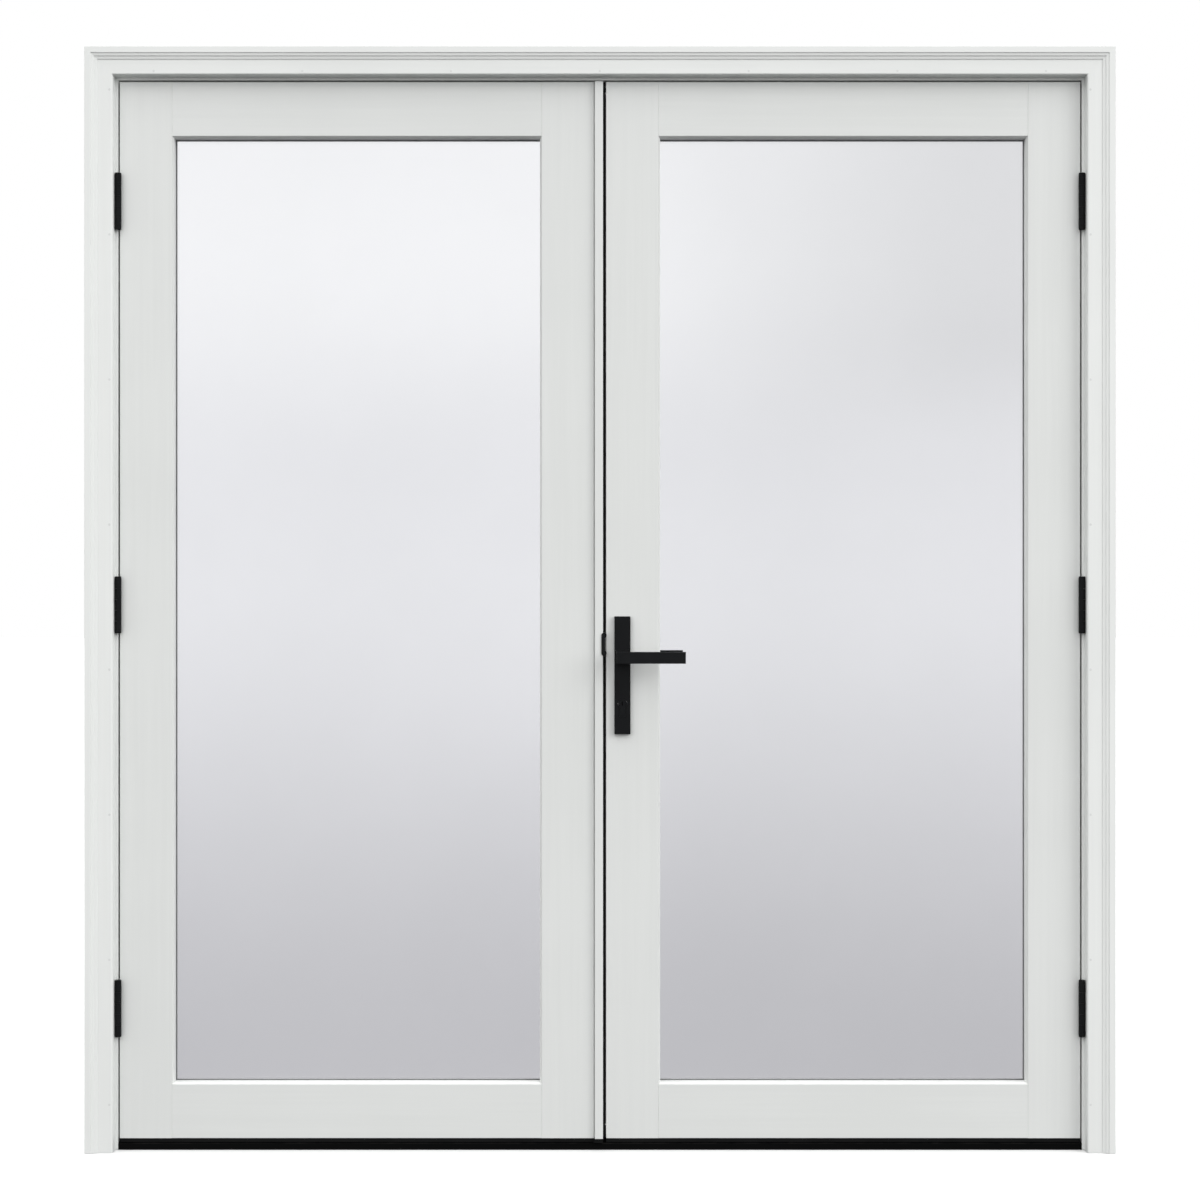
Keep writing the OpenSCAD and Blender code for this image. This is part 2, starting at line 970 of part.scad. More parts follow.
// A flush bolt drawn with its tip at z = 0 and its thumb piece above
module flush_bolt() {
    thumb_z = bolt_l - thumb_l - 10;
    translate([bolt_x, bolt_y, 0.5]) cylinder(h = bolt_l - 0.5, r = bolt_r);
    block(
        [bolt_x, bolt_y - thumb_w / 2, thumb_z],
        [astragal_x1 + thumb_out, bolt_y + thumb_w / 2, thumb_z + thumb_l]
    );
}

module flush_bolt_bottom() {
    color(steel) translate([0, 0, bottom_z]) flush_bolt();
}

module flush_bolt_top() {
    color(steel) translate([0, 0, top_z]) mirror([0, 0, 1]) flush_bolt();
}

// ---------------------------------------------------------------- lock

// Outline of a profile cylinder, grown by g, standing on its stem
module cylinder_outline(g) {
    union() {
        circle(profile_r + g);
        translate([-profile_w / 2 - g, profile_r - profile_h - g])
            square([profile_w + 2 * g, profile_h - profile_r + g]);
    }
}

// The cylinder's outline run along Y between two depths
module cylinder_run(y0, y1, g) {
    translate([lock_x, y1, cylinder_z]) rotate([90, 0, 0]) linear_extrude(y1 - y0) cylinder_outline(g);
}

module faceplate_blank() {
    block(
        [meet_x, mid_y - faceplate_w / 2, case_z0 - faceplate_over],
        [meet_x + 3, mid_y + faceplate_w / 2, case_z1 + faceplate_over]
    );
}

// Screws that hold the faceplate to the stile's edge
module faceplate_screws() {
    for (z = [case_z0 - faceplate_over / 2, case_z1 + faceplate_over / 2])
        translate([meet_x, mid_y, z]) screw(faceplate_screw_l);
}

// Screws that clamp the two handle plates together through the leaf
module plate_bolts() {
    y1 = back_y + plate_d;
    for (z = [plate_z0 + plate_screw_inset, plate_z1 - plate_screw_inset]) {
        rod_y(lock_x, z, face_y - plate_d / 2, y1, plate_screw_r);
        translate([lock_x, y1 - 3, z]) rotate([-90, 0, 0])
            cylinder(h = 3, r1 = plate_screw_r, r2 = plate_screw_head_r);
    }
}

// Gap round the lock's case, its cylinder and its spindle
module lock_cuts() {
    block(
        [case_x0 - eps, mid_y - case_t / 2 - 0.5, case_z0 - 0.5],
        [case_x1 + 0.5, mid_y + case_t / 2 + 0.5, case_z1 + 0.5]
    );
    faceplate_blank();
    faceplate_screws();
    cylinder_run(face_y - eps, back_y + eps, 0.5);
    rod_y(lock_x, lever_z, face_y - eps, back_y + eps, journal_r + 1);
    plate_bolts();
}

module right_meeting_stile() {
    color(paint) difference() {
        meeting_stile();
        lock_cuts();
    }
}

// Slots that the latch and the deadbolt pass through
module bolt_slots() {
    block(
        [0, mid_y - latch_w / 2 - 0.3, latch_z - latch_h / 2 - 0.3],
        [case_x0 + case_wall + eps, mid_y + latch_w / 2 + 0.3, latch_z + latch_h / 2 + 0.3]
    );
    block(
        [0, mid_y - bolt_w / 2 - 0.3, deadbolt_z - bolt_h / 2 - 0.3],
        [case_x0 + case_wall + eps, mid_y + bolt_w / 2 + 0.3, deadbolt_z + bolt_h / 2 + 0.3]
    );
}

module lock_case() {
    w = case_wall;
    color(steel) difference() {
        block([case_x0, mid_y - case_t / 2, case_z0], [case_x1, mid_y + case_t / 2, case_z1]);
        block(
            [case_x0 + w, mid_y - case_t / 2 + w, case_z0 + w],
            [case_x1 - w, mid_y + case_t / 2 - w, case_z1 - w]
        );
        bolt_slots();
        cylinder_run(face_y, back_y, 0.3);
        rod_y(lock_x, lever_z, face_y, back_y, follower_boss_r + fit);
    }
}

module lock_faceplate() {
    color(steel) difference() {
        faceplate_blank();
        bolt_slots();
        faceplate_screws();
    }
}

module lock_screws() {
    color(steel) faceplate_screws();
}

// Latch with its sloped nose and the tail that the follower pulls
module latch_bolt() {
    tip = meet_x - latch_throw;
    root = case_x0 + case_wall + 10;
    tooth_x = lock_x + 3.6;
    color(steel) union() {
        translate([0, 0, latch_z - latch_h / 2]) linear_extrude(latch_h) polygon([
            [root, mid_y - latch_w / 2], [tip, mid_y - latch_w / 2], [tip, mid_y - latch_w / 2 + 2.5],
            [meet_x - 1, mid_y + latch_w / 2], [root, mid_y + latch_w / 2]
        ]);
        block([root, mid_y - 4, latch_z - 4], [tooth_x + 4, mid_y + 4, latch_z + 4]);
        block([tooth_x, mid_y - 3, lever_z + follower_r + 2], [tooth_x + 4, mid_y + 3, latch_z]);
    }
}

module deadbolt() {
    color(steel) union() {
        block(
            [meet_x + 0.3, mid_y - bolt_w / 2, deadbolt_z - bolt_h / 2],
            [case_x1 - case_wall - 2, mid_y + bolt_w / 2, deadbolt_z + bolt_h / 2]
        );
        block([lock_x - 2, mid_y - 3, cylinder_z + 18], [lock_x + 2, mid_y + 3, deadbolt_z]);
    }
}

// Turning hub that carries the spindle and pulls the latch back
module lock_follower() {
    half = case_t / 2 - case_wall - 0.3;
    hole = spindle_w / 2 + fit;
    color(steel) difference() {
        union() {
            rod_y(lock_x, lever_z, mid_y - half, mid_y + half, follower_r);
            rod_y(lock_x, lever_z, mid_y - case_t / 2 - 0.3, mid_y + case_t / 2 + 0.3, follower_boss_r);
            block([lock_x - 3, mid_y - 3, lever_z], [lock_x + 3, mid_y + 3, lever_z + follower_arm]);
        }
        block([lock_x - hole, face_y, lever_z - hole], [lock_x + hole, back_y, lever_z + hole]);
    }
}

module spindle() {
    h = spindle_w / 2;
    y0 = face_y - lever_reach + lever_t + 8;
    y1 = 2 * mid_y - y0;
    color(steel) block([lock_x - h, y0, lever_z - h], [lock_x + h, y1, lever_z + h]);
}

// Profile cylinder, cut away in the middle for its cam
module cylinder_body() {
    y0 = face_y - plate_d - cylinder_proud;
    y1 = back_y + plate_d + cylinder_proud;
    color(black) difference() {
        cylinder_run(y0, y1, 0);
        rod_y(lock_x, cylinder_z, y0 - eps, y1 + eps, plug_r + fit);
        block(
            [lock_x - far / 2, mid_y - cam_w / 2, cylinder_z - profile_r - 6.5],
            [lock_x + far / 2, mid_y + cam_w / 2, cylinder_z + profile_r + eps]
        );
    }
}

// Outer plug with its keyway
module key_plug() {
    y0 = face_y - plate_d - cylinder_proud;
    color(steel) difference() {
        rod_y(lock_x, cylinder_z, y0 - 0.4, mid_y - cam_w / 2 - 0.2, plug_r);
        block([lock_x - 0.8, y0 - eps, cylinder_z - 4.5], [lock_x + 0.8, y0 + 22, cylinder_z + 4.5]);
        block([lock_x - 1.9, y0 - eps, cylinder_z - 1], [lock_x + 0.8, y0 + 22, cylinder_z + 0.6]);
    }
}

// Room-side plug with the turn piece that works the deadbolt
module thumbturn() {
    y1 = back_y + plate_d + cylinder_proud;
    color(black) union() {
        rod_y(lock_x, cylinder_z, mid_y + cam_w / 2 + 0.2, y1 + 0.5, plug_r);
        rod_y(lock_x, cylinder_z, y1 + 0.4, y1 + 8, plug_r + 1.6);
        soft_block([lock_x - 3.5, y1 + 6, cylinder_z - 13], [lock_x + 3.5, y1 + 24, cylinder_z + 13], soft);
    }
}

module cylinder_cam() {
    half = cam_w / 2 - 0.3;
    color(steel) union() {
        rod_y(lock_x, cylinder_z, mid_y - half, mid_y + half, profile_r - 0.4);
        block([lock_x - 3, mid_y - half, cylinder_z], [lock_x + 3, mid_y + half, cylinder_z + 14]);
    }
}

// ---------------------------------------------------------------- handles

// One handle plate with its square hub, on the outer face
module escutcheon() {
    y0 = face_y - plate_d;
    color(black) difference() {
        union() {
            soft_block([lock_x - plate_w / 2, y0, plate_z0], [lock_x + plate_w / 2, face_y, plate_z1], 0.8);
            soft_block(
                [lock_x - hub_w / 2, y0 - hub_d, lever_z - hub_w / 2],
                [lock_x + hub_w / 2, y0 + 2, lever_z + hub_w / 2], 0.8
            );
        }
        rod_y(lock_x, lever_z, y0 - hub_d - eps, face_y + eps, journal_r + fit);
        cylinder_run(y0 - eps, face_y + eps, 0.3);
        children();
    }
}

module escutcheon_outer() {
    escutcheon() plate_bolts();
}

module escutcheon_inner() {
    other_side() escutcheon() other_side() plate_bolts();
}

module escutcheon_screws() {
    color(black) difference() {
        plate_bolts();
        for (z = [plate_z0 + plate_screw_inset, plate_z1 - plate_screw_inset])
            translate([lock_x, back_y + plate_d, z]) rotate([0, 0, -90]) driver_recess();
    }
}

// The lever seen from above: a square neck and the bar that turns off it
module lever_plan() {
    n = lever_h / 2;
    reach = lever_reach;
    end = lever_l - n;
    root = plate_d + hub_d + neck_gap;
    polygon([
        [-n, -root], [-n, -reach + soft], [-n + soft, -reach], [end - soft, -reach],
        [end, -reach + soft], [end, -reach + lever_t - soft], [end - soft, -reach + lever_t],
        [n, -reach + lever_t], [n, -root]
    ]);
}

module lever() {
    h = lever_h / 2;
    socket = spindle_w / 2 + fit;
    color(black) difference() {
        union() {
            translate([lock_x, face_y, lever_z]) intersection() {
                linear_extrude(lever_h, center = true) lever_plan();
                rotate([90, 0, 90]) linear_extrude(far, center = true)
                    polygon([[-lever_reach, -h + soft], [-lever_reach + soft, -h], [0, -h], [0, h],
                             [-lever_reach + soft, h], [-lever_reach, h - soft]]);
            }
            rod_y(lock_x, lever_z, face_y - plate_d - hub_d - neck_gap - eps, face_y - 3, journal_r);
        }
        block(
            [lock_x - socket, face_y - lever_reach + lever_t + 7, lever_z - socket],
            [lock_x + socket, face_y, lever_z + socket]
        );
    }
}

module lever_outer() {
    lever();
}

module lever_inner() {
    other_side() lever();
}

// ---------------------------------------------------------------- what is drawn

sill_base();
sill_cap();
jamb_left();
jamb_right();
jamb_head();
brickmould_left();
brickmould_right();
brickmould_head();
casing_nails();
weatherstrips();
jamb_hinge_leaves();
hinge_pins();
jamb_hinge_screws();
head_keeper();
left_hinge_stile();
left_meeting_stile();
left_top_rail();
left_bottom_rail();
left_outer_beads();
left_inner_beads();
left_outer_glass();
left_inner_glass();
left_spacer();
left_hinge_leaves();
left_hinge_screws();
left_sweep();
astragal();
astragal_stop();
astragal_seal();
strike_plate();
flush_bolt_top();
flush_bolt_bottom();
right_hinge_stile();
right_meeting_stile();
right_top_rail();
right_bottom_rail();
right_outer_beads();
right_inner_beads();
right_outer_glass();
right_inner_glass();
right_spacer();
right_hinge_leaves();
right_hinge_screws();
right_sweep();
lock_case();
lock_faceplate();
lock_screws();
latch_bolt();
deadbolt();
cylinder_body();
key_plug();
thumbturn();
cylinder_cam();
escutcheon_outer();
escutcheon_inner();
escutcheon_screws();
lever_outer();
lever_inner();
spindle();
lock_follower();
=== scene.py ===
"""Looks for a pair of french doors that open outwards, hung in a white frame with a moulded surround."""

import json
import math

import bmesh
import bpy
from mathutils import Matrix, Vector

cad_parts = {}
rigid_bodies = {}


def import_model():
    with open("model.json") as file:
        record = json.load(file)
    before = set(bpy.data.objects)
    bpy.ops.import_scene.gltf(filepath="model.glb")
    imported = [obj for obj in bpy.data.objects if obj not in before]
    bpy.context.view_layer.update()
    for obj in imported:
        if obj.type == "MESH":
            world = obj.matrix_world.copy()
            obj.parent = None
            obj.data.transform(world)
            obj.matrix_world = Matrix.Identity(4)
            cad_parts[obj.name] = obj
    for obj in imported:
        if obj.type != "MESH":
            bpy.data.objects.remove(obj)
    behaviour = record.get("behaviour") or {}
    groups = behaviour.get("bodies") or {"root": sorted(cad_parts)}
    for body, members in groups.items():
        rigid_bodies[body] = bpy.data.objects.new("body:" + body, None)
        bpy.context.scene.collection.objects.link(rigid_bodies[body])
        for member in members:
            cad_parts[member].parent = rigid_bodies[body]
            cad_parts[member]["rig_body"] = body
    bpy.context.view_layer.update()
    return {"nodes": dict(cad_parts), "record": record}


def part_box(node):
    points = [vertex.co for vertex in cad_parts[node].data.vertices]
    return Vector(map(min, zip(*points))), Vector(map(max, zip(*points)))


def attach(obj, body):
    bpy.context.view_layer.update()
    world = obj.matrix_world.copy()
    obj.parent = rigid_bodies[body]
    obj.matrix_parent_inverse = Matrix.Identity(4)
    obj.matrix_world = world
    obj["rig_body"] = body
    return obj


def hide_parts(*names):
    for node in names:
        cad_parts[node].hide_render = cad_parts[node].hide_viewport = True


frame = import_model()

NODES = frame["nodes"]
BLACK, WHITE = (0.0, 0.0, 0.0), (1.0, 1.0, 1.0)


# ---------------------------------------------------------------- node tools

def place(tree, kind, values=(), **settings):
    """Adds a node, sets its properties and then its plain sockets."""
    node = tree.nodes.new(kind)
    for name, value in settings.items():
        setattr(node, name, value)
    for name, value in dict(values).items():
        node.inputs[name].default_value = value
    return node


def join(tree, *pairs):
    """Links (from socket, to socket) pairs."""
    for source, target in pairs:
        tree.links.new(source, target)


def new_tree(name, kind, inputs, outputs):
    """A node tree with named sockets; returns it with its input and output nodes."""
    tree = bpy.data.node_groups.new(name, kind)
    for label, socket, value in inputs:
        made = tree.interface.new_socket(label, in_out="INPUT", socket_type=socket)
        if value is not None:
            made.default_value = value
    for label, socket in outputs:
        tree.interface.new_socket(label, in_out="OUTPUT", socket_type=socket)
    return tree, tree.nodes.new("NodeGroupInput"), tree.nodes.new("NodeGroupOutput")


def math_node(tree, operation, a, b=None, clamp=False):
    """A Math node fed by sockets or plain numbers; returns its output."""
    node = place(tree, "ShaderNodeMath", operation=operation, use_clamp=clamp)
    for slot, value in enumerate((a, b)):
        if value is None:
            continue
        if isinstance(value, (int, float)):
            node.inputs[slot].default_value = value
        else:
            tree.links.new(value, node.inputs[slot])
    return node.outputs[0]


def ramp(tree, value, low, high, to_low=0.0, to_high=1.0):
    """A smooth step of a value between two limits; returns its output."""
    node = place(
        tree, "ShaderNodeMapRange",
        {"From Min": low, "From Max": high, "To Min": to_low, "To Max": to_high},
        interpolation_type="SMOOTHSTEP",
    )
    tree.links.new(value, node.inputs["Value"])
    return node.outputs["Result"]


def noise(tree, vector, scale, detail=2.0, roughness=0.5):
    """A noise texture on a vector; returns its plain value."""
    node = place(
        tree, "ShaderNodeTexNoise", {"Scale": scale, "Detail": detail, "Roughness": roughness}
    )
    tree.links.new(vector, node.inputs["Vector"])
    return node.outputs["Fac"]


def stretched(tree, stretch):
    """Object coordinates scaled by a vector socket; returns the vector."""
    where = place(tree, "ShaderNodeTexCoord")
    scale = place(tree, "ShaderNodeVectorMath", operation="MULTIPLY")
    join(tree, (where.outputs["Object"], scale.inputs[0]), (stretch, scale.inputs[1]))
    return scale.outputs["Vector"]


def object_point(tree):
    """The place of a point on the piece, as a vector socket."""
    return place(tree, "ShaderNodeTexCoord").outputs["Object"]


# ---------------------------------------------------------------- shared surface effects

# How far in from an edge, in metres, a coating is rubbed.
RUB_WIDTH = 0.0009


def build_paint_film():
    """Brush strokes that run with the wood, a faint mottle and a fine orange peel."""
    tree, start, end = new_tree(
        "paint_film", "ShaderNodeTree",
        [("Stretch", "NodeSocketVector", (90.0, 90.0, 3.0)),
         ("Mottle Scale", "NodeSocketFloat", 3.0)],
        [("Shade", "NodeSocketFloat"), ("Relief", "NodeSocketFloat")],
    )
    strokes = noise(tree, stretched(tree, start.outputs["Stretch"]), 1.0, 3.0, 0.6)
    spot = place(tree, "ShaderNodeTexNoise", {"Detail": 3.0})
    join(tree, (object_point(tree), spot.inputs["Vector"]),
         (start.outputs["Mottle Scale"], spot.inputs["Scale"]))
    peel = noise(tree, object_point(tree), 700.0, 1.0)
    shade = math_node(tree, "ADD", math_node(tree, "MULTIPLY", strokes, 0.4),
                      math_node(tree, "MULTIPLY", spot.outputs["Fac"], 0.6))
    relief = math_node(tree, "ADD", math_node(tree, "MULTIPLY", strokes, 0.75),
                       math_node(tree, "MULTIPLY", peel, 0.25))
    join(tree, (ramp(tree, shade, 0.35, 0.65), end.inputs["Shade"]), (relief, end.inputs["Relief"]))
    return tree


def build_edge_rub():
    """Where an edge is rubbed: strongest along sharp edges, in patches."""
    tree, start, end = new_tree(
        "edge_rub", "ShaderNodeTree",
        [("Patch Scale", "NodeSocketFloat", 40.0), ("Amount", "NodeSocketFloat", 0.5)],
        [("Rubbed", "NodeSocketFloat")],
    )
    rounded = place(tree, "ShaderNodeBevel", {"Radius": RUB_WIDTH}, samples=4)
    flat = place(tree, "ShaderNodeNewGeometry")
    turn = place(tree, "ShaderNodeVectorMath", operation="DOT_PRODUCT")
    join(tree, (rounded.outputs["Normal"], turn.inputs[0]), (flat.outputs["Normal"], turn.inputs[1]))
    near_edge = ramp(tree, turn.outputs["Value"], 0.995, 0.85)
    patch = place(tree, "ShaderNodeTexNoise", {"Detail": 4.0, "Roughness": 0.65})
    join(tree, (object_point(tree), patch.inputs["Vector"]),
         (start.outputs["Patch Scale"], patch.inputs["Scale"]))
    worn = math_node(tree, "MULTIPLY", near_edge, ramp(tree, patch.outputs["Fac"], 0.4, 0.7))
    rubbed = math_node(tree, "MULTIPLY", worn, start.outputs["Amount"], clamp=True)
    join(tree, (rubbed, end.inputs["Rubbed"]))
    return tree


def build_settled_dust():
    """Fine dust on faces that look up."""
    tree, start, end = new_tree(
        "settled_dust", "ShaderNodeTree",
        [("Amount", "NodeSocketFloat", 0.3)],
        [("Dust", "NodeSocketFloat")],
    )
    facing = place(tree, "ShaderNodeNewGeometry")
    parts = place(tree, "ShaderNodeSeparateXYZ")
    join(tree, (facing.outputs["Normal"], parts.inputs[0]))
    level = ramp(tree, parts.outputs["Z"], 0.35, 0.95)
    cloud = ramp(tree, noise(tree, object_point(tree), 24.0, 5.0, 0.7), 0.3, 0.75)
    dust = math_node(tree, "MULTIPLY", math_node(tree, "MULTIPLY", level, cloud),
                     start.outputs["Amount"], clamp=True)
    join(tree, (dust, end.inputs["Dust"]))
    return tree


def build_coat_grain():
    """The pebbled skin of a baked coating."""
    tree, start, end = new_tree(
        "coat_grain", "ShaderNodeTree",
        [("Grain Scale", "NodeSocketFloat", 1400.0)],
        [("Fleck", "NodeSocketFloat"), ("Relief", "NodeSocketFloat")],
    )
    grain = place(tree, "ShaderNodeTexNoise", {"Detail": 2.0, "Roughness": 0.6})
    join(tree, (object_point(tree), grain.inputs["Vector"]),
         (start.outputs["Grain Scale"], grain.inputs["Scale"]))
    broad = noise(tree, object_point(tree), 18.0, 3.0)
    join(tree, (ramp(tree, broad, 0.3, 0.7), end.inputs["Fleck"]),
         (grain.outputs["Fac"], end.inputs["Relief"]))
    return tree


def build_drawn_lines():
    """Fine parallel lines left by drawing, brushing or sawing."""
    tree, start, end = new_tree(
        "drawn_lines", "ShaderNodeTree",
        [("Stretch", "NodeSocketVector", (4.0, 900.0, 900.0))],
        [("Line", "NodeSocketFloat"), ("Relief", "NodeSocketFloat")],
    )
    lines = noise(tree, stretched(tree, start.outputs["Stretch"]), 1.0, 4.0, 0.7)
    join(tree, (ramp(tree, lines, 0.3, 0.7), end.inputs["Line"]), (lines, end.inputs["Relief"]))
    return tree


PAINT_FILM = build_paint_film()
EDGE_RUB = build_edge_rub()
SETTLED_DUST = build_settled_dust()
COAT_GRAIN = build_coat_grain()
DRAWN_LINES = build_drawn_lines()


# ---------------------------------------------------------------- materials

def new_material(name, **plain):
    """A material and its tree and shader, with the shader's plain sockets set."""
    material = bpy.data.materials.new(name)
    material.use_nodes = True
    tree = material.node_tree
    shader = next(n for n in tree.nodes if n.type == "BSDF_PRINCIPLED")
    for label, value in plain.items():
        shader.inputs[label.replace("_", " ")].default_value = value
    return material, tree, shader


def effect(tree, group, values=()):
    """One of the shared effects placed in a material with its own values."""
    return place(tree, "ShaderNodeGroup", values, node_tree=group)


def scaled(colour, amount):
    """A colour made lighter or darker."""
    return tuple(part * amount for part in colour)


def mixed(tree, factor, a, b):
    """A colour mix; a and b are colours or sockets. Returns the colour."""
    node = place(tree, "ShaderNodeMix", data_type="RGBA")
    tree.links.new(factor, node.inputs["Factor"])
    for slot, value in ((6, a), (7, b)):
        if isinstance(value, tuple):
            node.inputs[slot].default_value = (*value, 1.0)
        else:
            tree.links.new(value, node.inputs[slot])
    return node.outputs[2]


def coat(tree, shader, colour, mask, smooth, rough):
    """Feeds the shader its colour, and a roughness that runs between two values with a mask."""
    join(tree, (colour, shader.inputs["Base Color"]),
         (ramp(tree, mask, 0.0, 1.0, smooth, rough), shader.inputs["Roughness"]))


def raised(tree, shader, height, depth, strength):
    """Feeds a height of that depth in metres to the shader's normal."""
    bump = place(tree, "ShaderNodeBump", {"Strength": strength, "Distance": depth})
    join(tree, (height, bump.inputs["Height"]), (bump.outputs["Normal"], shader.inputs["Normal"]))


def satin_paint(name, stretch, brightness):
    """White satin paint with strokes along the wood; brightness is how much light it sends back."""
    light = scaled((1.012, 1.030, 1.012), brightness)
    deep = scaled((0.978, 0.996, 0.978), brightness)
    bare, settled = (0.70, 0.69, 0.665), (0.60, 0.59, 0.56)
    material, tree, shader = new_material(name)
    film = effect(tree, PAINT_FILM, {"Stretch": stretch})
    rub = effect(tree, EDGE_RUB, {"Patch Scale": 14.0, "Amount": 0.25})
    dust = effect(tree, SETTLED_DUST, {"Amount": 0.12})
    body = mixed(tree, film.outputs["Shade"], light, deep)
    edged = mixed(tree, rub.outputs["Rubbed"], body, bare)
    dusty = mixed(tree, dust.outputs["Dust"], edged, settled)
    coat(tree, shader, dusty, film.outputs["Shade"], 0.36, 0.47)
    raised(tree, shader, film.outputs["Relief"], 0.00012, 0.35)
    return material


def black_powder_coat():
    """Matt black baked coating on hinges, levers and plates."""
    deep, pale = (0.0058, 0.0063, 0.0070), (0.0088, 0.0094, 0.0102)
    bare, settled = (0.030, 0.031, 0.033), (0.07, 0.068, 0.064)
    material, tree, shader = new_material("black_powder_coat", Specular_IOR_Level=0.09)
    grain = effect(tree, COAT_GRAIN, {"Grain Scale": 1500.0})
    rub = effect(tree, EDGE_RUB, {"Patch Scale": 90.0, "Amount": 0.55})
    dust = effect(tree, SETTLED_DUST, {"Amount": 0.10})
    body = mixed(tree, grain.outputs["Fleck"], deep, pale)
    edged = mixed(tree, rub.outputs["Rubbed"], body, bare)
    dusty = mixed(tree, dust.outputs["Dust"], edged, settled)
    coat(tree, shader, dusty, grain.outputs["Fleck"], 0.30, 0.40)
    raised(tree, shader, grain.outputs["Relief"], 0.00006, 0.5)
    return material


def black_anodised():
    """Black anodised sill extrusion with fine lines along its length."""
    deep, pale = (0.0014, 0.0015, 0.0015), (0.0026, 0.0027, 0.0028)
    bare, settled = (0.03, 0.03, 0.031), (0.12, 0.115, 0.105)
    material, tree, shader = new_material("black_anodised", Specular_IOR_Level=0.045)
    lines = effect(tree, DRAWN_LINES, {"Stretch": (5.0, 700.0, 700.0)})
    rub = effect(tree, EDGE_RUB, {"Patch Scale": 30.0, "Amount": 0.5})
    dust = effect(tree, SETTLED_DUST, {"Amount": 0.12})
    body = mixed(tree, lines.outputs["Line"], deep, pale)
    edged = mixed(tree, rub.outputs["Rubbed"], body, bare)
    dusty = mixed(tree, dust.outputs["Dust"], edged, settled)
    coat(tree, shader, dusty, lines.outputs["Line"], 0.42, 0.56)
    raised(tree, shader, lines.outputs["Relief"], 0.00004, 0.4)
    return material


def seal_rubber():
    """Black rubber with a dull bloom."""
    deep, pale, settled = (0.0040, 0.0042, 0.0043), (0.0080, 0.0082, 0.0084), (0.10, 0.097, 0.09)
    material, tree, shader = new_material("seal_rubber", Specular_IOR_Level=0.08)
    grain = effect(tree, COAT_GRAIN, {"Grain Scale": 900.0})
    dust = effect(tree, SETTLED_DUST, {"Amount": 0.2})
    body = mixed(tree, grain.outputs["Fleck"], deep, pale)
    dusty = mixed(tree, dust.outputs["Dust"], body, settled)
    coat(tree, shader, dusty, grain.outputs["Fleck"], 0.62, 0.78)
    raised(tree, shader, grain.outputs["Relief"], 0.00008, 0.6)
    return material


def spacer_strip():
    """Black warm-edge spacer, pricked with rows of pin holes that are drawn as bumps and as dots of
    painted shade.
    """
    deep, pale, hole_shade = (0.020, 0.020, 0.022), (0.030, 0.030, 0.033), (0.004, 0.004, 0.004)
    material, tree, shader = new_material("spacer_strip")
    cells = place(tree, "ShaderNodeTexVoronoi", {"Scale": 260.0, "Randomness": 0.0})
    join(tree, (object_point(tree), cells.inputs["Vector"]))
    hole = ramp(tree, cells.outputs["Distance"], 0.16, 0.24)
    grain = effect(tree, COAT_GRAIN, {"Grain Scale": 1100.0})
    body = mixed(tree, grain.outputs["Fleck"], deep, pale)
    # The holes take a near-black colour: painted shade in place of the dark inside each pin hole.
    coat(tree, shader, mixed(tree, hole, hole_shade, body), grain.outputs["Fleck"], 0.45, 0.6)
    raised(tree, shader, hole, 0.0002, 0.5)
    return material


def plated_steel():
    """Zinc-plated steel with brushing along the case and bolts."""
    deep, pale, bare = (0.46, 0.46, 0.455), (0.58, 0.58, 0.57), (0.74, 0.74, 0.73)
    material, tree, shader = new_material("plated_steel", Metallic=1.0)
    lines = effect(tree, DRAWN_LINES, {"Stretch": (900.0, 900.0, 18.0)})
    rub = effect(tree, EDGE_RUB, {"Patch Scale": 120.0, "Amount": 0.6})
    body = mixed(tree, lines.outputs["Line"], deep, pale)
    edged = mixed(tree, rub.outputs["Rubbed"], body, bare)
    coat(tree, shader, edged, lines.outputs["Line"], 0.30, 0.42)
    raised(tree, shader, lines.outputs["Relief"], 0.00003, 0.4)
    return material


def sealed_board():
    """The sealed timber board under the sill's metal."""
    pale, deep, pore = (0.46, 0.34, 0.21), (0.33, 0.225, 0.125), (0.25, 0.165, 0.09)
    material, tree, shader = new_material("sealed_board")
    grain = effect(tree, DRAWN_LINES, {"Stretch": (3.0, 160.0, 160.0)})
    pores = effect(tree, DRAWN_LINES, {"Stretch": (14.0, 1100.0, 1100.0)})
    body = mixed(tree, grain.outputs["Line"], pale, deep)
    coat(tree, shader, mixed(tree, pores.outputs["Line"], body, pore), grain.outputs["Line"], 0.5, 0.66)
    raised(tree, shader, pores.outputs["Relief"], 0.0001, 0.5)
    return material


def clear_glass(name, tint):
    """Float glass with a coating's faint grey tint and a breath of wipe marks."""
    material, tree, shader = new_material(name, Transmission_Weight=1.0, IOR=1.5, Roughness=0.0)
    wipes = noise(tree, object_point(tree), 1.6, 4.0, 0.6)
    wiped = mixed(tree, ramp(tree, wipes, 0.3, 0.7), tint, scaled(tint, 0.985))
    join(tree, (wiped, shader.inputs["Base Color"]))
    return material


def nail_filler():
    """Putty over the nail heads, a shade greyer than the paint round it."""
    material, tree, shader = new_material("nail_filler")
    grain = effect(tree, COAT_GRAIN, {"Grain Scale": 1200.0})
    body = mixed(tree, grain.outputs["Fleck"], (0.70, 0.71, 0.70), (0.74, 0.75, 0.74))
    coat(tree, shader, body, grain.outputs["Fleck"], 0.5, 0.6)
    raised(tree, shader, grain.outputs["Relief"], 0.0001, 0.4)
    return material


def glazing_sealant():
    """The thin line of sealant between a pane and its beads."""
    material, tree, shader = new_material("glazing_sealant")
    film = effect(tree, PAINT_FILM, {"Stretch": (60.0, 60.0, 60.0)})
    body = mixed(tree, film.outputs["Shade"], (0.62, 0.63, 0.63), (0.56, 0.57, 0.57))
    coat(tree, shader, body, film.outputs["Shade"], 0.3, 0.4)
    raised(tree, shader, film.outputs["Relief"], 0.0002, 0.4)
    return material


